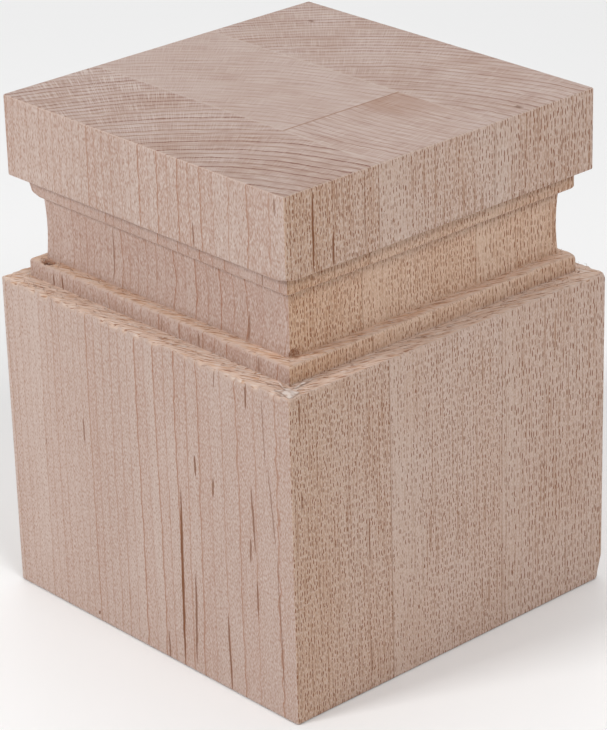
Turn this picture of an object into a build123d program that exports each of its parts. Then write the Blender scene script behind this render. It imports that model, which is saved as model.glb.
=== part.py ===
import os

from build123d import *

# A square beech furniture foot: a heavy plain base, a moulded groove round its neck, and a square cap
# on which the furniture stands. It is machined from one glued-up blank. Millimetres, +Z up, with the
# origin in the middle of the bottom face.

# The blank, which the base keeps at its full width
blank_width = 127.0

# Heights of the bands, from the floor up
base_height = 101.6
ledge_height = 5.9
neck_height = 20.05
step_height = 6.2
cap_height = 25.0

# How far the cutter goes into each side of the blank, band by band
ledge_inset = 6.35
neck_inset = 10.0
step_inset = 6.8
cap_inset = 2.9

# The cutter's form: it hollows the neck a little, to this depth at mid height, and rounds the noses of
# the two thin bands, the ledge at its top and the step at its bottom
neck_hollow = 0.45
ledge_nose = 1.1
step_nose = 1.3

# Sanding eases the upright corners and the rims of the base and the cap
corner_ease = 0.7
rim_ease = 0.5

# Levels and half widths that follow from the sizes above
ledge_level = base_height
neck_level = ledge_level + ledge_height
step_level = neck_level + neck_height
cap_level = step_level + step_height
top_level = cap_level + cap_height
neck_middle_level = neck_level + neck_height / 2

base_half = blank_width / 2
ledge_half = base_half - ledge_inset
neck_half = base_half - neck_inset
step_half = base_half - step_inset
cap_half = base_half - cap_inset

# The outline of the foot seen square on, drawn as its right half and mirrored
with BuildSketch() as side_outline:
    with BuildLine():
        below_neck = Polyline(
            (0, 0),
            (base_half, 0),
            (base_half, ledge_level),
            (ledge_half, ledge_level),
            (ledge_half, neck_level),
            (neck_half, neck_level),
        )
        hollow = ThreePointArc(
            below_neck @ 1,
            (neck_half - neck_hollow, neck_middle_level),
            (neck_half, step_level),
        )
        Polyline(
            hollow @ 1,
            (step_half, step_level),
            (step_half, cap_level),
            (cap_half, cap_level),
            (cap_half, top_level),
            (0, top_level),
        )
        mirror(about=Plane.YZ)
    make_face()

    # The noses are the outer points at the ledge's top and at the step's bottom, the third and fourth levels
    outline_levels = side_outline.vertices().group_by(Axis.Y)
    ledge_points = outline_levels[2].sort_by(Axis.X)
    step_points = outline_levels[3].sort_by(Axis.X)
    fillet((ledge_points.first, ledge_points.last), ledge_nose)
    fillet((step_points.first, step_points.last), step_nose)

with BuildPart() as foot:
    # One pass of the cutter shapes two opposite sides, and a second pass across it shapes the others,
    # so the bands meet in mitres at the corners
    with BuildSketch(Plane.XZ):
        add(side_outline.sketch)
    extrude(amount=base_half, both=True)
    with BuildSketch(Plane.YZ):
        add(side_outline.sketch)
    extrude(amount=base_half, both=True, mode=Mode.INTERSECT)

    # Sanding takes the sharpness off the upright corners of the base and the cap, then off their rims
    uprights = foot.edges().filter_by(Axis.Z).group_by(Axis.Z)
    fillet(uprights[0] + uprights[-1], corner_ease)
    level_faces = foot.faces().filter_by(Axis.Z).sort_by(Axis.Z)
    base_faces = level_faces[:2]
    cap_faces = level_faces[-2:]
    fillet([edge for face in base_faces + cap_faces for edge in face.outer_wire().edges()], rim_ease)

foot.part.label = "foot"

os.makedirs("parts", exist_ok=True)
export_step(foot.part, "parts/foot.step")
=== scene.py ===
import math

import bmesh
import bpy
from mathutils import Matrix, Vector, noise


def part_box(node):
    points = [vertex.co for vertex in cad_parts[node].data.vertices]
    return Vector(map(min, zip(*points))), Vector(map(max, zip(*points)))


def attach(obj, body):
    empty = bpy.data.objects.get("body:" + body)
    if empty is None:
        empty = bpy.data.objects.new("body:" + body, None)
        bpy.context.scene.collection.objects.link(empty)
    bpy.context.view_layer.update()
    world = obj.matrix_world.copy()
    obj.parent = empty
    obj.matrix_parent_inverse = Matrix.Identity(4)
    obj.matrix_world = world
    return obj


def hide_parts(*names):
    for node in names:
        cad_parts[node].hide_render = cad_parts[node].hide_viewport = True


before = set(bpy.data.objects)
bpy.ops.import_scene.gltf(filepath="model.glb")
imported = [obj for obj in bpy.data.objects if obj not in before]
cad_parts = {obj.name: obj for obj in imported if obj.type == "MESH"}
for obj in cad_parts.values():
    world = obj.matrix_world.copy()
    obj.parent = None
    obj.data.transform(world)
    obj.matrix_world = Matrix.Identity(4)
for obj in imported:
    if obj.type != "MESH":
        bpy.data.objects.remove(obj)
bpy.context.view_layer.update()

# The blank: four boards of steamed beech, glued up with their grain upright. One board is the whole front
# of the foot and one the whole back. The layer between them is two pieces, butted at a cross seam.


class Wire:
    """A socket of a node tree. Its operators add Math nodes, and node() adds any other node."""

    def __init__(self, tree, socket=None):
        self.tree = tree
        self.socket = socket

    def node(self, kind, settings=None, inputs=None, output=0):
        made = self.tree.nodes.new(kind)
        for name, value in (settings or {}).items():
            setattr(made, name, value)
        plugs = {plug.identifier: plug for plug in made.inputs}
        for name, value in (inputs or {}).items():
            if isinstance(value, Wire):
                self.tree.links.new(value.socket, plugs[name])
            else:
                plugs[name].default_value = value
        return Wire(self.tree, made.outputs[output])

    def math(self, operation, left, right=0.0):
        return self.node("ShaderNodeMath", {"operation": operation}, {"Value": left, "Value_001": right})

    def __add__(self, other):
        return self.math("ADD", self, other)

    def __radd__(self, other):
        return self.math("ADD", other, self)

    def __sub__(self, other):
        return self.math("SUBTRACT", self, other)

    def __rsub__(self, other):
        return self.math("SUBTRACT", other, self)

    def __mul__(self, other):
        return self.math("MULTIPLY", self, other)

    def __truediv__(self, other):
        return self.math("DIVIDE", self, other)

    def __pow__(self, other):
        return self.math("POWER", self, other)

    def __gt__(self, other):
        return self.math("GREATER_THAN", self, other)

    def __lt__(self, other):
        return self.math("LESS_THAN", self, other)

    def __abs__(self):
        return self.math("ABSOLUTE", self)

    def over(self, other):
        return self.math("MAXIMUM", self, other)

    def rise(self, low, high):
        """A soft step from 0 to 1 as the value goes from low to high, which may be the smaller one."""
        levels = {"Value": self, "From Min": low, "From Max": high}
        return self.node("ShaderNodeMapRange", {"interpolation_type": "SMOOTHSTEP"}, levels)

    def parts(self):
        """The three numbers of a vector."""
        split = self.node("ShaderNodeSeparateXYZ", None, {"Vector": self}).socket.node
        return [Wire(self.tree, plug) for plug in split.outputs]

    def point(self, across, along, up):
        return self.node("ShaderNodeCombineXYZ", None, {"X": across, "Y": along, "Z": up})

    def cloud(self, place, detail=1.0):
        """Soft noise about 0, at most about 0.5 either way."""
        inputs = {"Vector": place, "Scale": 1.0, "Detail": detail, "Roughness": 0.5}
        return self.node("ShaderNodeTexNoise", {"noise_dimensions": "3D"}, inputs) - 0.5


def paint(red, green, blue):
    """A colour given in the 0 to 255 steps of a colour card."""
    shares = [step / 255 for step in (red, green, blue)]
    light = [share / 12.92 if share < 0.04045 else ((share + 0.055) / 1.055) ** 2.4 for share in shares]
    return light + [1.0]


wood_gloss = 0.28


def wood_material(name):
    """An empty wood finish: its tree's starting wire and its shader."""
    finish = bpy.data.materials.new(name)
    finish.use_nodes = True
    shader = finish.node_tree.nodes["Principled BSDF"]
    shader.inputs["Specular IOR Level"].default_value = wood_gloss
    return finish, Wire(finish.node_tree), shader


def connect(wire, shader, plug):
    wire.tree.links.new(wire.socket, shader.inputs[plug])


beech, start, beech_shader = wood_material("raw_beech")

# Lengths in the wood's pattern are in millimetres, as a joiner would measure them. A cut is named after what
# it shows: rings on the front and the back, flecks on the two sides, fibre ends above and below.
MM = 1000.0
here = start.node("ShaderNodeVectorMath", {"operation": "SCALE"}, {
    "Vector": start.node("ShaderNodeTexCoord", None, None, "Object"), "Scale": MM})
x, y, z = here.parts()
facing = start.node("ShaderNodeNewGeometry", None, None, "True Normal")
facing_right, facing_back, facing_up = facing.parts()
at_level = abs(facing_up)
end_cut = at_level.rise(0.55, 0.85)
fleck_cut = abs(facing_right).rise(0.6, 0.8) * (1 - end_cut)
ring_cut = abs(facing_back).rise(0.6, 0.8) * (1 - end_cut)

# The seams, and which board a point lies in
front_seam = -25.6
back_seam = 19.5
cross_seam = 22.2
front_board = y < front_seam
back_board = y > back_seam
core = 1 - front_board - back_board
core_near = core * (x > cross_seam)
core_far = core - core_near

# Each board's heart in the tree, which its rings go round, how strongly its rings show at the ends, and a
# shift that gives it a grain of its own
heart_x = front_board * 76.0 + back_board * 75.0 + core_near * 17.0 + core_far * 60.0
heart_y = front_board * -112.0 + back_board * -60.0 + core_near * 150.0 + core_far * -120.0
ring_show = front_board * 0.92 + back_board * 0.65 + core_near * 0.55 + core_far * 0.22
board_shift = back_board * 310.0 + core_near * 620.0 + core_far * 930.0

# Rings: growth wanders a little round the trunk and up it, and each year's line has its own strength
wander_reach = 3.5
waver_reach = 1.05
ring_growth = 0.0366
ring_power = 1.394
lifted = z + board_shift
wander = start.cloud(start.point(x / 30.0, y / 30.0, lifted / 120.0))
waver = start.cloud(start.point(x / 3.2, y / 3.2, lifted / 6.5), 2.0)
from_heart_x = x - heart_x
from_heart_y = y - heart_y
heart_distance = (from_heart_x * from_heart_x + from_heart_y * from_heart_y) ** 0.5
ring_radius = heart_distance + wander * wander_reach + waver * waver_reach
ring_count = (ring_radius ** ring_power) * ring_growth
ring_phase = start.math("FRACT", ring_count)
ring_year = start.math("FLOOR", ring_count) + board_shift
ring_chance = start.node("ShaderNodeTexWhiteNoise", {"noise_dimensions": "1D"}, {"W": ring_year})
ring_crowding = heart_distance ** (ring_power - 1) * (ring_growth * ring_power)
ring_slope = (ring_cut * abs(from_heart_x) + fleck_cut * abs(from_heart_y)) / heart_distance + end_cut + 0.05
line_gap = (1 - ring_phase) / (ring_crowding * ring_slope)
line_width = 0.62 + end_cut * 0.3
line_core = 0.12
ring_line = line_gap.rise(line_width, line_core)
ring_strength = 0.33 + ring_chance.rise(0.15 + core_near * 0.4, 1.0) * 0.53 - core_near * 0.2
ring_band = ring_phase.rise(0.45, 0.93) * ring_phase.rise(1.0, 0.96)
drift = start.cloud(start.point(x / 18.0, y / 18.0, lifted / 60.0))

# Where the cutter broke the fibres of the end grain, marked on the mesh, they lie in torn streaks that
# slant a little from the edge
slant = 0.32
torn = start.node("ShaderNodeAttribute", {"attribute_name": "torn"}, None, "Fac")
along_x = abs(y) > abs(x)
along = along_x * x + (1 - along_x) * y
across = along_x * y + (1 - along_x) * x
tear_along = along + across * slant
tear_across = across - along * slant


def either(place, other, share):
    """A place in one pattern, or in the other where the share is 1."""
    return start.node("ShaderNodeMix", {"data_type": "VECTOR"}, {
        "Factor_Float": share, "A_Vector": place, "B_Vector": other}, 1)


# Fibres: fine short ones and long ones up the sides, rays from the heart at the ends, and streaks where the
# wood is torn
fine_width = 0.27
fine_length = 0.8 + ring_cut * 0.1
long_width = 0.42
long_length = 24.0
ray_turn = start.math("ARCTAN2", from_heart_y, from_heart_x)
at_end = at_level > 0.7
at_tear = torn > 0.45
fine_place = start.point(x / fine_width, y / fine_width, lifted / fine_length)
fine_place = either(fine_place, start.point(ray_turn * 600.0, heart_distance / 9.0, board_shift), at_end)
fine_place = either(fine_place, start.point(tear_along / 5.0, tear_across / 0.42, z / 0.7), at_tear)
fine = start.cloud(fine_place, 0.0)
long_place = start.point(x / long_width, y / long_width, lifted / long_length)
long_place = either(long_place, start.point(ring_radius / 0.6, ray_turn * 12.0, board_shift), at_end)
long_place = either(long_place, start.point(tear_along / 8.0, tear_across / 1.1, z / 1.5), at_tear)
long = start.cloud(long_place)

# Ray flecks: the rays cut across, as short dark dashes, longer and wider apart in the back board, and weaker
# in the pale sapwood beside two of the seams
core_sapwood = core * y.rise(front_seam + 17.0, front_seam + 7.0)
back_sapwood = back_board * y.rise(back_seam + 11.0, back_seam + 3.0)
sapwood = core_sapwood + back_sapwood
fleck_width = 1.2 + back_board * 0.25
fleck_height = 2.1 + back_board * 0.8
fleck_grid = start.point(x * 0.017 + board_shift, y / fleck_width, lifted / fleck_height + fine * 0.1)
cells = {"Vector": fleck_grid, "Scale": 1.0, "Randomness": 0.65}
fleck_cells = start.node("ShaderNodeTexVoronoi", {"voronoi_dimensions": "3D"}, cells, "Position")
fleck_colour = Wire(start.tree, fleck_cells.socket.node.outputs["Color"])
fleck_chance = start.node("ShaderNodeSeparateColor", None, {"Color": fleck_colour})
fleck_offset = start.node("ShaderNodeVectorMath", {"operation": "SUBTRACT"}, {
    "Vector": fleck_grid, "Vector_001": fleck_cells})
_, fleck_across, fleck_up = fleck_offset.parts()
fleck_thinness = 46.0
fleck_shortness = 5.8
fleck_reach = (fleck_across * fleck_across * fleck_thinness + fleck_up * fleck_up * fleck_shortness) ** 0.5
fleck_depth = fleck_chance.rise(sapwood * 0.4 - 0.35, 0.55 + sapwood * 0.35)
fleck = fleck_reach.rise(1.05, 0.7) * fleck_depth
fleck_rim = fleck_reach.rise(2.3, 1.3) * fleck_depth

# The bands of the moulding that is cut into the blank, in metres: half widths, and levels from the floor up
foot_low, foot_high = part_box("foot")
blank_half = (foot_high.x - foot_low.x) / 2
ledge_half = 0.05715
neck_half = 0.0535
step_half = 0.0567
cap_half = 0.0606
foot_height = foot_high.z - foot_low.z
cap_height = 0.025
base_height = 0.1016
neck_level = 0.1075
step_level = 0.12755
cap_level = foot_height - cap_height

# Gum streaks that run with the grain. Each has its place from left to right, and its upper and lower end from
# the band's top down, as shares of that band's face, then its lean and its half width in millimetres, and its
# depth of colour.
base_streaks = (
    (0.283, 0.340, 0.430, 0.0, 0.36, 0.75),
    (0.620, 0.410, 1.010, 1.6, 0.68, 1.00),
    (0.662, 0.660, 0.980, 1.2, 0.52, 0.85),
    (0.776, 0.750, 1.010, -0.8, 0.50, 0.90),
    (0.560, 0.910, 1.010, 0.0, 0.45, 0.80),
    (0.680, 0.295, 0.365, 0.0, 0.55, 0.90),
    (0.740, 0.340, 0.405, 0.3, 0.50, 0.85),
    (0.872, 0.310, 0.520, -0.9, 0.50, 0.80),
    (0.878, 0.600, 0.715, 0.0, 0.46, 0.80),
    (0.859, 0.475, 0.555, 0.2, 0.48, 0.80),
    (0.861, 0.005, 0.085, 0.2, 0.50, 0.90),
    (0.756, 0.005, 0.062, 0.2, 0.38, 0.65),
    (0.190, 0.002, 0.042, 0.0, 0.30, 0.60),
    (0.303, 0.968, 0.982, 0.4, 0.50, 1.00),
    (0.135, 0.470, 0.492, 0.3, 0.34, 0.60),
    (0.915, 0.020, 0.240, -0.5, 0.28, 0.70),
    (0.935, 0.220, 0.480, -2.6, 0.30, 0.72),
    (0.953, 0.460, 0.960, -1.8, 0.30, 0.70),
)
ledge_streaks = (
    (0.098, 0.350, 1.050, 0.0, 0.42, 0.90),
    (0.133, 0.150, 1.050, 0.0, 0.45, 0.90),
    (0.528, 0.250, 1.000, 0.0, 0.34, 0.50),
    (0.670, 0.200, 1.000, 0.0, 0.45, 0.75),
    (0.889, 0.150, 0.980, 0.0, 0.42, 0.55),
)
neck_streaks = (
    (0.293, 0.100, 1.000, 0.6, 0.32, 0.80),
    (0.843, 0.580, 1.000, 0.0, 0.55, 0.65),
)
step_streaks = (
    (0.912, 0.100, 0.950, 0.0, 0.34, 0.70),
)
cap_streaks = (
    (0.690, 0.680, 1.000, 0.0, 0.40, 0.80),
    (0.970, 0.040, 0.260, 0.0, 0.55, 0.62),
)
right_base_streaks = (
    (0.230, 0.450, 0.600, 0.0, 0.32, 0.85),
    (0.230, 0.840, 0.960, 0.0, 0.30, 0.70),
    (0.030, 0.010, 0.090, 0.0, 0.42, 0.75),
    (0.030, 0.285, 0.345, 0.0, 0.36, 0.80),
)
right_cap_streaks = (
    (0.086, 0.020, 1.000, 0.5, 0.50, 1.00),
    (0.146, 0.580, 1.000, 0.3, 0.48, 0.95),
    (0.160, 0.040, 0.320, 0.0, 0.30, 0.60),
    (0.245, 0.020, 1.000, 0.0, 0.34, 0.60),
)
gum_waver = 0.9
gum_width = 0.85
gum_outer_edge = -0.06
gum_inner_edge = 0.16


def streaks(sideways, bands):
    """How deep the gum is coloured at a point of one side, from the streaks of each of its bands."""
    deepest = 0.0
    for half, low, high, marks in bands:
        height = (high - low) * MM
        for share, upper, lower, lean, width, depth in marks:
            middle_level = high * MM - height * (upper + lower) / 2
            half_length = height * (lower - upper) / 2
            climb = z * (1 / half_length) - middle_level / half_length
            centred = sideways + waver * gum_waver - (2 * share - 1) * half * MM
            if lean:
                centred = centred - climb * (lean / 2)
            spare = (1 - climb ** 4.0) * (width * gum_width) - abs(centred)
            deepest = (spare.rise(gum_outer_edge, gum_inner_edge) * depth).over(deepest)
    return deepest


front_gum = streaks(x, (
    (blank_half, 0.0, base_height, base_streaks),
    (ledge_half, base_height, neck_level, ledge_streaks),
    (neck_half, neck_level, step_level, neck_streaks),
    (step_half, step_level, cap_level, step_streaks),
    (cap_half, cap_level, foot_height, cap_streaks)))
right_gum = streaks(y, (
    (blank_half, 0.0, base_height, right_base_streaks),
    (cap_half, cap_level, foot_height, right_cap_streaks)))
gum = (front_gum * (y < 0.0) * ring_cut).over(right_gum * (x > 0.0) * fleck_cut)

# Pin knots: two small dark marks in the end grain of the back board, by place and size in millimetres
knot_squash = 1.4
knot_fray = 1.2
knots = 0.0
for knot_x, knot_y, knot_size in ((-45.0, 47.2, 1.5), (56.3, 33.6, 1.7)):
    knot_reach = abs(x - knot_x).over(abs(y - knot_y) * knot_squash)
    knots = (knot_reach + fine * knot_fray).rise(knot_size, knot_size * 0.3).over(knots)

# Glue lines: a fine dark line down the sides where two boards meet, and a sharper one at the cross seam
front_gap = abs(y - front_seam)
back_gap = abs(y - back_seam)
cross_gap = abs(x - cross_seam)
side_glue = (front_gap.rise(0.30, 0.08) * 0.5).over(back_gap.rise(0.30, 0.08) * 0.3) * (1 - end_cut)
end_glue = core * cross_gap.rise(0.45, 0.12) * 0.7 * end_cut
glue = side_glue.over(end_glue)
seam_light = front_gap.rise(0.9, 0.2).over(back_gap.rise(0.9, 0.2)) * end_cut


def mixed(colour, other, share, blend="MIX"):
    """A colour with a share of another laid over it."""
    return start.node("ShaderNodeMix", {"data_type": "RGBA", "blend_type": blend}, {
        "Factor_Float": share, "A_Color": colour, "B_Color": other}, 2)


# Colour of the front and the back: its drift, paler to the left, then each year's tone and band, the fibres,
# and the ring lines, which fade to the left
ring_pale = fine.rise(-0.02, -0.25) * 0.62 + long.rise(-0.05, -0.25) * 0.16
ring_dark = fine.rise(0.02, 0.28) * 0.58 + long.rise(0.05, 0.28) * 0.22
ring_fade = 0.4 + x.rise(-50.0, -5.0) * 0.52
ring_face = mixed(paint(190, 165, 153), paint(197, 175, 164), drift.rise(-0.1, 0.25))
ring_face = mixed(ring_face, paint(208, 186, 175), x.rise(-10.0, -58.0) * 0.4)
ring_face = mixed(ring_face, paint(186, 155, 141), ring_chance.rise(0.3, 0.9) * 0.4)
ring_face = mixed(ring_face, paint(181, 151, 134), ring_band * (0.05 + ring_chance * 0.25))
ring_face = mixed(ring_face, paint(212, 197, 189), ring_pale)
ring_face = mixed(ring_face, paint(160, 120, 98), ring_dark)
ring_face = mixed(ring_face, paint(158, 100, 64), ring_line * ring_strength * ring_fade)

# Colour of the two sides: its drift, browner towards the front edge and paler in the sapwood, then the
# fibres, the ring lines, and the flecks with a paler rim
front_brown = 0.14 + y.rise(front_seam - 5.0, -58.0) * 0.22
side_dark = 0.36 - sapwood * 0.1 + front_board * 0.06
fleck_face = mixed(paint(203, 179, 166), paint(198, 170, 154), drift.rise(-0.25, 0.2))
fleck_face = mixed(fleck_face, paint(188, 150, 116), front_board * front_brown)
fleck_face = mixed(fleck_face, paint(204, 183, 169), sapwood * 0.2)
fleck_face = mixed(fleck_face, paint(218, 203, 193), fine.rise(-0.03, -0.22) * 0.4)
fleck_face = mixed(fleck_face, paint(150, 100, 58), fine.rise(0.04, 0.25) * side_dark)
fleck_face = mixed(fleck_face, paint(146, 96, 54), long.rise(0.04, 0.22) * (0.6 - sapwood * 0.3))
fleck_face = mixed(fleck_face, paint(134, 84, 46), ring_line * ring_strength * (0.35 - core_near * 0.2))
fleck_face = mixed(fleck_face, paint(216, 198, 184), fleck_rim * 0.2)
fleck_face = mixed(fleck_face, paint(124, 67, 20), fleck * (0.86 + front_board * 0.05))

# Colour of the end grain: its drift, the fibres between the rings, the rings, a brown stain by the cross
# seam, the rays, the seams and the knots
stain_across = x.rise(cross_seam + 28.0, cross_seam + 2.0)
stain_along = y.rise(back_seam - 21.0, back_seam - 10.0)
heart_stain = core_near * stain_across * stain_along
ray_show = 0.1 + ring_show * 0.1 + front_board * x.rise(10.0, -50.0) * 0.2
end_face = mixed(paint(184, 163, 154), paint(167, 138, 123), drift.rise(-0.3, 0.3) * (0.3 + ring_show * 0.55))
end_face = mixed(end_face, paint(205, 190, 182), long.rise(0.0, -0.25) * (0.28 + ring_show * 0.2))
end_face = mixed(end_face, paint(148, 112, 92), long.rise(0.02, 0.25) * (0.26 + ring_show * 0.27))
end_face = mixed(end_face, paint(148, 110, 88), ring_band * ring_show * 0.35)
end_face = mixed(end_face, paint(116, 62, 40), ring_line * ring_strength * ring_show * (1.25 + fine * 2.2))
end_face = mixed(end_face, paint(150, 106, 78), heart_stain * 0.5)
end_face = mixed(end_face, paint(212, 199, 192), fine.rise(0.0, -0.25) * ray_show)
end_face = mixed(end_face, paint(132, 96, 76), fine.rise(0.02, 0.25) * ray_show * 0.6)
end_face = mixed(end_face, paint(195, 177, 167), seam_light * 0.3)
end_face = mixed(end_face, paint(112, 72, 50), knots * 0.75)

# Colour of the torn end grain: pale broken fibres with dark gaps
torn_face = mixed(paint(211, 184, 166), paint(198, 160, 133), long.rise(0.0, 0.25))
torn_face = mixed(torn_face, paint(220, 205, 195), fine.rise(0.02, 0.2) * 0.75)
torn_face = mixed(torn_face, paint(138, 88, 60), fine.rise(-0.07, -0.25) * 0.75)

# All the cuts together. Shade and warm bounce light are painted into the groove: darker on the front and the
# back, warmer and a little lighter on the sides, warmer on the end grain. Then come the glue, a painted
# highlight on the rounded rims, the gum, and the chips, whose darker brown is partly painted shade.
base_top = base_height * MM
cap_bottom = cap_level * MM
# The band of the groove, between the shoulder and the cap, where shade and bounce light are painted
groove = z.rise(base_top, base_top + 1.0) * z.rise(cap_bottom, cap_bottom - 1.0)
groove_painted_shade_and_bounce = mixed([0.97, 0.93, 0.92, 1.0], [1.10, 1.04, 0.94, 1.0], fleck_cut)
# Painted highlight: the rounded rims that face upward are painted paler, as if they catch the light
painted_rim_highlight = facing_up.rise(0.1, 0.4) * facing_up.rise(0.99, 0.85) * (1 - torn)
chipped = start.node("ShaderNodeAttribute", {"attribute_name": "chipped"}, None, "Fac")
# The chips' torn brown, darkened in the deeper chip as painted shade of its hole
chip_brown_and_hole_shade = mixed(paint(136, 84, 54), paint(84, 42, 20), chipped.rise(0.7, 1.0))
chip_share = chipped.rise(0.0, 0.6) * (fine.rise(-0.2, 0.15) * 0.6 + 0.35)
colour = mixed(mixed(ring_face, fleck_face, fleck_cut), end_face, end_cut)
colour = mixed(colour, torn_face, torn)
# Painted shade and warm bounce light in the groove: darker on the front and the back, warmer on the sides and
# the end grain
colour = mixed(colour, groove_painted_shade_and_bounce, groove * (1 - end_cut), "MULTIPLY")
colour = mixed(colour, paint(216, 167, 126), groove * end_cut * 0.2)
colour = mixed(colour, paint(136, 93, 62), glue * (1 - torn))
colour = mixed(colour, paint(214, 196, 184), painted_rim_highlight * 0.22)
colour = mixed(colour, paint(122, 72, 34), gum * 0.92)
colour = mixed(colour, chip_brown_and_hole_shade, chip_share)
connect(colour, beech_shader, "Base Color")

# The bare wood is matt, its fibres stand up a little and its flecks lie a little deeper
roughness = 0.62 + long * 0.2 + fleck * fleck_cut * 0.12 + torn * 0.2
connect(roughness, beech_shader, "Roughness")
relief_depth = 0.0001
relief_height = fine * (1.2 + torn * 0.6) - fleck * fleck_cut * 0.35
relief = start.node("ShaderNodeBump", None, {
    "Strength": 0.9, "Distance": relief_depth, "Height": relief_height})
connect(relief, beech_shader, "Normal")

# The foot: the base, the moulded groove round its neck and the cap, run with a cutter along all four sides of
# the blank so that the bands meet in mitres. The end grain of the shoulder and the ledge is left torn.
neck_hollow = 0.00045
ledge_nose = 0.0011
step_nose = 0.0013
corner_ease = 0.0007
rim_ease = 0.0005
mitre_ease = 0.0002
side_points = 168
corner_points = 4


def turn_round(half, level, ease):
    """One turn round the foot, counter-clockwise from above: a square with eased corners."""
    flat = half - ease
    turn = []
    for side in range(4):
        quarter = Matrix.Rotation(side * math.pi / 2, 3, "Z")
        for step in range(side_points):
            turn.append(quarter @ Vector((half, flat * (2 * step / side_points - 1), level)))
        for step in range(corner_points):
            angle = math.pi / 2 * step / corner_points
            corner = (flat + ease * math.cos(angle), flat + ease * math.sin(angle), level)
            turn.append(quarter @ Vector(corner))
    return turn


def straight(first, last, count):
    """Points of the outline from the first up to the last, without the last."""
    return [tuple(a + (b - a) * step / count for a, b in zip(first, last)) for step in range(count)]


def rounded(middle, radius, first, last, count):
    """Points of a round edge of the outline, between two angles in degrees, with both ends."""
    angles = [math.radians(first + (last - first) * step / count) for step in range(count + 1)]
    return [(middle[0] + radius * math.cos(angle), middle[1] + radius * math.sin(angle)) for angle in angles]


def rim_rows(points, outer_half):
    """Rows of an eased rim, whose corners keep one centre."""
    return [(half, level, corner_ease - (outer_half - half), 0.0) for half, level in points]


def plain_rows(points, ease, torn_share=0.0):
    """Rows whose corners are all as round."""
    return [(half, level, ease, torn_share) for half, level in points]


# The outline from the bottom up: half width and level of each row, how round its corners are, how torn it is.
# Rows lie close where the sander or the cutter left its marks: near the floor and under the shoulder.
rim_steps = 4
nose_steps = 6
neck_steps = 28
rim_border = 0.0006
row_gap = 0.0004
first_level = 0.001
worn_level = 0.0080
close_level = 0.0936
base_rim = blank_half - rim_ease
cap_rim = cap_half - rim_ease
shoulder_level = base_height - rim_ease
cap_shoulder_level = foot_height - rim_ease
ledge_round = (ledge_half - ledge_nose, neck_level - ledge_nose)
step_round = (step_half - step_nose, step_level + step_nose)

rows = plain_rows([(base_rim - rim_border, 0.0)], mitre_ease)
rows += rim_rows(rounded((base_rim, rim_ease), rim_ease, -90, 0, rim_steps), blank_half)
rows += plain_rows(straight((blank_half, first_level), (blank_half, worn_level), count=5), corner_ease)
rows += plain_rows(straight((blank_half, worn_level), (blank_half, close_level), count=10), corner_ease)
rows += plain_rows(straight((blank_half, close_level), (blank_half, shoulder_level), count=9), corner_ease)
shoulder_rim = rim_rows(rounded((base_rim, shoulder_level), rim_ease, 0, 90, rim_steps), blank_half)
rows += [(half, level, ease, step / rim_steps) for step, (half, level, ease, _) in enumerate(shoulder_rim)]
shoulder = straight((base_rim - row_gap, base_height), (ledge_half, base_height), count=11)
rows += plain_rows(shoulder, mitre_ease, 1.0)
rows += plain_rows([(ledge_half, base_height)], mitre_ease, 1.0)
ledge_face = straight((ledge_half, base_height + row_gap), (ledge_half, ledge_round[1]), count=7)
rows += plain_rows(ledge_face, mitre_ease)
ledge_rim = rounded(ledge_round, ledge_nose, 0, 90, nose_steps)
rows += [(half, level, mitre_ease, step / nose_steps) for step, (half, level) in enumerate(ledge_rim)]
ledge_top = straight((ledge_round[0] - row_gap, neck_level), (neck_half, neck_level), count=4)
rows += plain_rows(ledge_top, mitre_ease, 1.0)
rows += plain_rows([(neck_half, neck_level)], mitre_ease, 0.7)
for step in range(1, neck_steps):
    climb = step / neck_steps
    hollow = neck_hollow * 4 * climb * (1 - climb)
    rows.append((neck_half - hollow, neck_level + (step_level - neck_level) * climb, mitre_ease, 0.0))
rows += plain_rows(straight((neck_half, step_level), (step_round[0], step_level), count=4), mitre_ease)
rows += plain_rows(rounded(step_round, step_nose, -90, 0, nose_steps), mitre_ease)
step_face = straight((step_half, step_round[1] + row_gap), (step_half, cap_level), count=5)
rows += plain_rows(step_face, mitre_ease)
rows += plain_rows(straight((step_half, cap_level), (cap_rim, cap_level), count=6), mitre_ease)
rows += rim_rows(rounded((cap_rim, cap_level + rim_ease), rim_ease, -90, 0, rim_steps), cap_half)
cap_face = straight((cap_half, cap_level + first_level), (cap_half, cap_shoulder_level), count=12)
rows += plain_rows(cap_face, corner_ease)
rows += rim_rows(rounded((cap_rim, cap_shoulder_level), rim_ease, 0, 90, rim_steps), cap_half)
rows += plain_rows([(cap_rim - rim_border, foot_height)], mitre_ease)

# Chips at the feet of the neck's corners, where the cutter ran out of the wood: middle, reach, push and depth
# of colour of each. The colour is partly the torn wood's brown and partly painted shade in the hole.
chips = (
    (Vector((0.0535, -0.0515, 0.1084)), Vector((0.0022, 0.0024, 0.0017)), Vector((-0.0008, 0.0, 0.0)), 0.65),
    (Vector((-0.0505, -0.0552, 0.1075)), Vector((0.0029, 0.0020, 0.0012)), Vector((0.0, 0.0, -0.0009)), 1.0),
)
chip_grain = 0.0007

# Corners rounded by the sander: the step at the left, the cap at the front, and three at the right, where the
# shoulder, the ledge and the bottom of the base are. Middle, reach and push of each.
worn_corners = (
    (Vector((-step_half, -step_half, step_level)),
     Vector((0.005, 0.005, 0.006)), Vector((0.0011, 0.0011, 0.0))),
    (Vector((cap_half, -cap_half, cap_level)),
     Vector((0.004, 0.004, 0.003)), Vector((-0.0005, 0.0005, 0.0006))),
    (Vector((blank_half, blank_half, base_height)),
     Vector((0.002, 0.002, 0.002)), Vector((-0.0004, -0.0004, -0.0005))),
    (Vector((ledge_half, ledge_half, neck_level)),
     Vector((0.0025, 0.0025, 0.002)), Vector((-0.0003, -0.0003, -0.0003))),
    (Vector((blank_half, blank_half, 0.0)),
     Vector((0.0028, 0.0028, 0.0080)), Vector((-0.0010, -0.0010, 0.0))),
)

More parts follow.
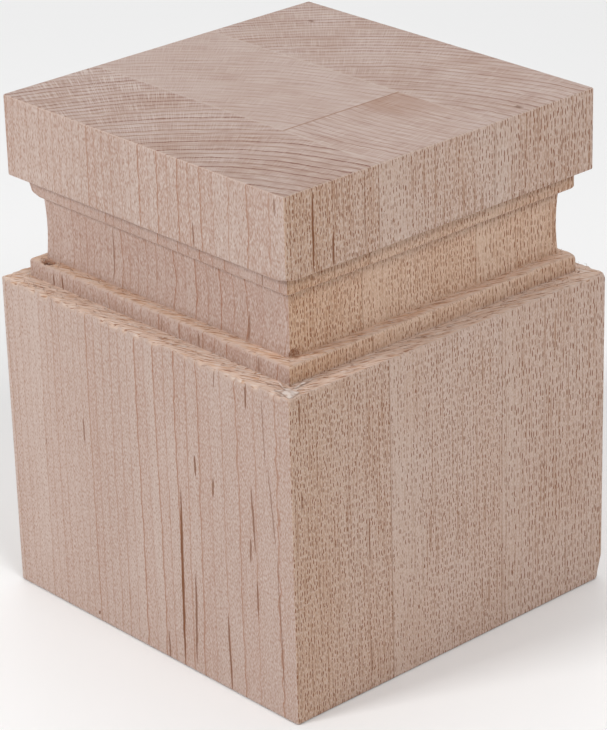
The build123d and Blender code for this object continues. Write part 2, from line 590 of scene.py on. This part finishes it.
# The torn end grain: sizes of its streaks and its fuzz, and the rims that the cutter bit small teeth out of,
# each with its half width, its level and how deep it is bitten
streak_length = 0.006
streak_width = 0.0006
streak_lift = 0.00012
fuzz_length = 0.0012
fuzz_width = 0.0008
fuzz_lift = 0.00006
torn_rims = ((blank_half, base_height, 1.0), (ledge_half, neck_level, 0.6))
side_share = 0.5
rim_reach = 0.0017
rim_drift_length = 0.014
tooth_length = 0.0040
ragged_length = 0.0022
corner_fade = 0.003
bite_in = 0.0006
bite_down = 0.0008

# Keys that give each side and each rim a pattern of its own
x_side_key = 11.0
y_side_key = 23.0
far_side_key = 5.0
fuzz_key = 9.0
drift_key = 31.0
ragged_key = 47.0
rim_key_scale = 90


def closeness(place, middle, reach):
    """1 in the middle of a mark, 0 at the end of its reach."""
    return 1 - Vector([gap / size for gap, size in zip(place - middle, reach)]).length


def worn(place, row_torn):
    """A point of the foot as the cutter and the sander left it, how torn it is there and how far chipped."""
    on_x_side = abs(place.x) > abs(place.y)
    across_side = max(abs(place.x), abs(place.y))
    if on_x_side:
        along_side = place.y
        outward = Vector((math.copysign(1.0, place.x), 0.0, 0.0))
        side_key = x_side_key
    else:
        along_side = place.x
        outward = Vector((0.0, math.copysign(1.0, place.y), 0.0))
        side_key = y_side_key
    if place.x + place.y > 0:
        side_key += far_side_key
    moved = place.copy()
    if row_torn > 0:
        streak = noise.noise(Vector((along_side / streak_length, across_side / streak_width, side_key)))
        fuzz = noise.noise(Vector((along_side / fuzz_length, across_side / fuzz_width, side_key + fuzz_key)))
        moved.z += row_torn * (streak_lift * streak + fuzz_lift * fuzz)
    torn_here = row_torn
    for rim_half, rim_level, rim_depth in torn_rims:
        near = 1 - math.hypot(across_side - rim_half, place.z - rim_level) / rim_reach
        if near > 0:
            rim_key = rim_half * rim_key_scale
            rim_drift = noise.noise(Vector((along_side / rim_drift_length, rim_key, side_key + drift_key)))
            tooth = (along_side / tooth_length + 3.0 * rim_drift) % 1.0
            ragged = noise.noise(Vector((along_side / ragged_length, rim_key, side_key + ragged_key)))
            bite = max(0.0, 0.45 * tooth + 0.9 * ragged + 0.9 * rim_drift) * rim_depth
            if on_x_side:
                bite *= side_share
            bite *= min(1.0, max(0.0, (rim_half - abs(along_side)) / corner_fade))
            moved -= (outward * bite_in + Vector((0.0, 0.0, bite_down))) * min(1.0, bite) * near
            torn_here = max(torn_here, min(1.0, 1.6 * bite) * min(1.0, 1.5 * near))
    for middle, reach, push in worn_corners:
        near = closeness(place, middle, reach)
        if near > 0:
            moved += push * near
    chip = 0.0
    for middle, reach, push, depth in chips:
        near = closeness(place, middle, reach)
        near += 0.5 * noise.noise(place / chip_grain) * min(1.0, max(0.0, near + 0.5))
        if near > 0:
            moved += push * min(1.0, 2 * near)
            chip = depth * min(1.0, 2 * near)
    return moved, torn_here, chip


foot_shell = bmesh.new()
torn_layer = foot_shell.verts.layers.float.new("torn")
chip_layer = foot_shell.verts.layers.float.new("chipped")
turns = []
for half, level, ease, row_torn in rows:
    turn = []
    for place in turn_round(half, level, max(ease, mitre_ease)):
        moved, torn_here, chip = worn(place, row_torn)
        point = foot_shell.verts.new(moved)
        point[torn_layer] = torn_here
        point[chip_layer] = chip
        turn.append(point)
    turns.append(turn)
round_count = len(turns[0])
for lower, upper in zip(turns, turns[1:]):
    for step in range(round_count):
        after = (step + 1) % round_count
        foot_shell.faces.new((lower[step], lower[after], upper[after], upper[step]))
foot_shell.faces.new(list(reversed(turns[0])))
foot_shell.faces.new(turns[-1])
for face in foot_shell.faces:
    face.smooth = True
foot_mesh = bpy.data.meshes.new("beech_foot")
foot_shell.to_mesh(foot_mesh)
foot_shell.free()
sharp_angle = math.radians(50)
foot_mesh.set_sharp_from_angle(angle=sharp_angle)
foot_mesh.materials.append(beech)
foot = bpy.data.objects.new("beech_foot", foot_mesh)
bpy.context.scene.collection.objects.link(foot)
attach(foot, "root")
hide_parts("foot")

# Torn fibres: hair-thin slivers that the cutter pulled out of the end grain and left lying along the shoulder
# and the ledge. They are the beech itself, still held at one end, their tone wandering between dark and pale.
tone_length = 1.6


def torn_wood(name, dark, pale):
    """Bare broken beech, its tone changing from fibre to fibre."""
    finish, begin, shader = wood_material(name)
    place = begin.node("ShaderNodeVectorMath", {"operation": "SCALE"}, {
        "Vector": begin.node("ShaderNodeTexCoord", None, None, "Object"), "Scale": MM / tone_length})
    tone = begin.cloud(place, 0.0)
    blend = begin.node("ShaderNodeMix", {"data_type": "RGBA"}, {
        "Factor_Float": tone.rise(-0.2, 0.2), "A_Color": dark, "B_Color": pale}, 2)
    connect(blend, shader, "Base Color")
    connect(tone * 0.2 + 0.7, shader, "Roughness")
    return finish


# A tree of nodes strews the fibres round one rim, each a slim cone that lies along the rim at a slant, and
# keeps them inside the blank
thinnest_fibre = (0.00004, 0.00004, 0.0014)
thickest_fibre = (0.00012, 0.00012, 0.0048)
fibre_limit = blank_half - 0.0001
fibre_wood = torn_wood("torn_fibre", paint(166, 124, 98), paint(224, 210, 200))
fibre_tree = bpy.data.node_groups.new("torn_fibres", "GeometryNodeTree")
fibre_sizes = (
    ("Half width", "NodeSocketFloat"),
    ("Level", "NodeSocketFloat"),
    ("Spread", "NodeSocketFloat"),
    ("Fibres", "NodeSocketInt"),
    ("Seed", "NodeSocketInt"),
)
for name, kind in fibre_sizes:
    fibre_tree.interface.new_socket(name, in_out="INPUT", socket_type=kind)
fibre_tree.interface.new_socket("Geometry", in_out="OUTPUT", socket_type="NodeSocketGeometry")
fibre_inputs = fibre_tree.nodes.new("NodeGroupInput").outputs[:len(fibre_sizes)]
half_width, rim_level, spread, fibre_count, seed = [Wire(fibre_tree, plug) for plug in fibre_inputs]
weave = Wire(fibre_tree)
side = half_width * 2.0
rim = weave.node("GeometryNodeCurvePrimitiveQuadrilateral", None, {"Width": side, "Height": side})
beads = weave.node("GeometryNodeCurveToPoints", None, {"Curve": rim, "Count": fibre_count})
tangent = Wire(fibre_tree, beads.socket.node.outputs["Tangent"])


def any_vector(low, high, salt):
    """A vector by chance for each fibre, between two others."""
    return weave.node("FunctionNodeRandomValue", {"data_type": "FLOAT_VECTOR"}, {
        "Min": low, "Max": high, "Seed": seed + salt})


scatter = weave.node("ShaderNodeVectorMath", {"operation": "MULTIPLY_ADD"}, {
    "Vector": any_vector((-1.0, -1.0, -0.1), (1.0, 1.0, 0.1), 1.0),
    "Vector_001": weave.point(spread, spread, 0.001),
    "Vector_002": weave.point(0.0, 0.0, rim_level)})
beads = weave.node("GeometryNodeSetPosition", None, {"Geometry": beads, "Offset": scatter})
tangent_x, tangent_y, _ = tangent.parts()
slanted = weave.point(tangent_x + tangent_y * slant, tangent_y + tangent_x * slant, 0.0)
lie = weave.node("ShaderNodeVectorMath", {"operation": "ADD"}, {
    "Vector": slanted, "Vector_001": any_vector((-0.2, -0.2, -0.04), (0.2, 0.2, 0.01), 2.0)})
heading = weave.node("FunctionNodeAlignRotationToVector", {"axis": "Z"}, {"Vector": lie})
sliver = weave.node("GeometryNodeMeshCone", None, {
    "Vertices": 5, "Side Segments": 2, "Radius Top": 0.1, "Radius Bottom": 1.0, "Depth": 1.0})
strands = weave.node("GeometryNodeInstanceOnPoints", None, {
    "Points": beads, "Instance": sliver, "Rotation": heading,
    "Scale": any_vector(thinnest_fibre, thickest_fibre, 3.0)})
strands = weave.node("GeometryNodeRealizeInstances", None, {"Geometry": strands})
kept = weave.node("ShaderNodeVectorMath", {"operation": "MINIMUM"}, {
    "Vector": weave.node("GeometryNodeInputPosition"),
    "Vector_001": (fibre_limit, fibre_limit, foot_height)})
kept = weave.node("ShaderNodeVectorMath", {"operation": "MAXIMUM"}, {
    "Vector": kept, "Vector_001": (-fibre_limit, -fibre_limit, 0.0)})
strands = weave.node("GeometryNodeSetPosition", None, {"Geometry": strands, "Position": kept})
strands = weave.node("GeometryNodeSetMaterial", None, {"Geometry": strands, "Material": fibre_wood})
fibre_output = fibre_tree.nodes.new("NodeGroupOutput")
fibre_tree.links.new(strands.socket, fibre_output.inputs["Geometry"])
fibre_items = [item for item in fibre_tree.interface.items_tree if item.in_out == "INPUT"]
fibre_plugs = {item.name: item.identifier for item in fibre_items}


def torn_fibres(name, sizes):
    """The fibres of one band, grown by the tree with these sizes and turned into a plain mesh."""
    grower = bpy.data.objects.new(name, bpy.data.meshes.new(name))
    bpy.context.scene.collection.objects.link(grower)
    modifier = grower.modifiers.new("torn_fibres", "NODES")
    modifier.node_group = fibre_tree
    for plug, value in sizes.items():
        modifier[fibre_plugs[plug]] = value
    grown = grower.evaluated_get(bpy.context.evaluated_depsgraph_get())
    mesh = bpy.data.meshes.new_from_object(grown)
    grower.modifiers.clear()
    grower.data = mesh
    for face in mesh.polygons:
        face.use_smooth = True
    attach(grower, "root")


torn_fibres("shoulder_fibres", {
    "Half width": 0.0596, "Level": base_height + 0.00008, "Spread": 0.0022, "Fibres": 560, "Seed": 4})
torn_fibres("ledge_fibres", {
    "Half width": 0.0546, "Level": neck_level + 0.00006, "Spread": 0.0010, "Fibres": 320, "Seed": 9})

# Corner splinters: where the cutter left the wood at the front corner it split the shoulder into pale flakes.
# Each is a thin strip of beech, still fixed at its root. Root, tip and width of each, in metres.
splinters = (
    ((0.0627, -0.0608, 0.10172), (0.0556, -0.0619, 0.10168), 0.0030),
    ((0.0622, -0.0588, 0.10174), (0.0560, -0.0595, 0.10175), 0.0017),
    ((0.0587, -0.0574, 0.10175), (0.0586, -0.0490, 0.10195), 0.0011),
    ((0.0626, -0.0626, 0.10155), (0.0626, -0.0586, 0.10172), 0.0008),
    ((0.0618, -0.0627, 0.10155), (0.0574, -0.0627, 0.10155), 0.0008),
    ((0.0566, -0.0591, 0.10170), (0.0538, -0.0587, 0.10290), 0.0006),
    ((0.0566, -0.0582, 0.10240), (0.0580, -0.0577, 0.10280), 0.0005),
    ((0.0540, -0.0596, 0.10165), (0.0505, -0.0602, 0.10170), 0.0009),
)
splinter_steps = 6
thickness_share = 0.1
crown_share = 0.12
splinter_shell = bmesh.new()
for root, tip, width in splinters:
    run = Vector(tip) - Vector(root)
    aside = run.cross(Vector((0.0, 0.0, 1.0))).normalized() * (width / 2)
    thick = Vector((0.0, 0.0, width * thickness_share))
    last = None
    for step in range(splinter_steps + 1):
        share = step / splinter_steps
        twist = noise.noise(Vector((root[0] * 900, root[1] * 900, share * 3.0)))
        frayed = 1 + 0.6 * noise.noise(Vector((root[1] * 700, share * 5.0, 8.0)))
        taper = (1 - 0.85 * share ** 1.6) * frayed
        crown = Vector((0.0, 0.0, crown_share * width * math.sin(math.pi * share)))
        middle = Vector(root) + run * share + aside * twist + crown
        wide = aside * taper
        deep = thick * taper
        shape = (middle + wide, middle + deep, middle - wide, middle - deep)
        ring = [splinter_shell.verts.new(point) for point in shape]
        if last is None:
            splinter_shell.faces.new(ring)
        else:
            for edge in range(4):
                after = (edge + 1) % 4
                splinter_shell.faces.new((last[edge], last[after], ring[after], ring[edge]))
        last = ring
    splinter_shell.faces.new(list(reversed(last)))
bmesh.ops.recalc_face_normals(splinter_shell, faces=splinter_shell.faces)
splinter_mesh = bpy.data.meshes.new("corner_splinters")
splinter_shell.to_mesh(splinter_mesh)
splinter_shell.free()
splinter_mesh.materials.append(torn_wood("pale_splinter", paint(186, 160, 145), paint(216, 203, 195)))
corner_splinters = bpy.data.objects.new("corner_splinters", splinter_mesh)
bpy.context.scene.collection.objects.link(corner_splinters)
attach(corner_splinters, "root")

# The studio: a plain pale floor, a soft box at each side, a broad one overhead and a weak one behind, in a
# dim white surround. The foot stands free on the floor, so nothing fixes it.
floor_half = 4.0
floor_gap = 0.0002
floor_mesh = bpy.data.meshes.new("floor")
floor_corners = [
    (-floor_half, -floor_half, 0),
    (floor_half, -floor_half, 0),
    (floor_half, floor_half, 0),
    (-floor_half, floor_half, 0),
]
floor_mesh.from_pydata(floor_corners, [], [(0, 1, 2, 3)])
floor_paint = bpy.data.materials.new("pale_floor")
floor_paint.use_nodes = True
floor_shader = floor_paint.node_tree.nodes["Principled BSDF"]
floor_shader.inputs["Base Color"].default_value = (0.93, 0.93, 0.93, 1.0)
floor_shader.inputs["Roughness"].default_value = 0.9
floor_shader.inputs["Specular IOR Level"].default_value = 0.0
floor_mesh.materials.append(floor_paint)
floor = bpy.data.objects.new("floor", floor_mesh)
floor.location.z = -floor_gap
bpy.context.scene.collection.objects.link(floor)

surround = bpy.data.worlds.new("white_surround")
surround.use_nodes = True
surround_light = surround.node_tree.nodes["Background"]
surround_light.inputs["Color"].default_value = (1.0, 1.0, 1.0, 1.0)
surround_light.inputs["Strength"].default_value = 0.25
bpy.context.scene.world = surround


def soft_light(name, place, size, power):
    """A square soft box that looks at the middle of the foot."""
    lamp = bpy.data.lights.new(name, "AREA")
    lamp.size = size
    lamp.energy = power
    light = bpy.data.objects.new(name, lamp)
    light.location = place
    aim = Vector((0.0, 0.0, foot_height / 2)) - Vector(place)
    light.rotation_euler = aim.to_track_quat("-Z", "Y").to_euler()
    bpy.context.scene.collection.objects.link(light)


soft_light("left_soft_box", (-0.35, -1.45, 1.18), size=0.4, power=14.4)
soft_light("right_soft_box", (1.15, -0.28, 1.3), size=0.65, power=11.1)
soft_light("top_soft_box", (-0.35, 0.5, 2.3), size=1.8, power=17.0)
soft_light("back_soft_box", (-1.4, 1.3, 0.5), size=1.0, power=7.0)

# The camera: a long lens, a little above the foot and turned to its front corner. It aims a little to the
# left of the foot's axis and below its middle.
view_turn = math.radians(48.02)
view_lift = math.radians(24.06)
view_roll = math.radians(-1.62)
view_distance = 0.9455
aim_level = 0.0762
aim_left = 0.00024
aim_down = 0.00394
focal_pixels = 3154.1
image_height = 730
sensor = 36.0
back = Vector((
    math.sin(view_turn) * math.cos(view_lift),
    -math.cos(view_turn) * math.cos(view_lift),
    math.sin(view_lift)))
level_right = Vector((math.cos(view_turn), math.sin(view_turn), 0.0))
level_up = back.cross(level_right)
right = level_right * math.cos(view_roll) + level_up * math.sin(view_roll)
up = level_up * math.cos(view_roll) - level_right * math.sin(view_roll)
target = Vector((0.0, 0.0, aim_level)) - right * aim_left - up * aim_down
lens = bpy.data.cameras.new("camera")
lens.sensor_width = sensor
lens.lens = focal_pixels * sensor / image_height
camera = bpy.data.objects.new("camera", lens)
turned = Matrix((right, up, back)).transposed().to_4x4()
turned.translation = target + back * view_distance
camera.matrix_world = turned
bpy.context.scene.collection.objects.link(camera)
bpy.context.scene.camera = camera
bpy.context.scene.view_settings.view_transform = "Standard"

bpy.context.view_layer.update()
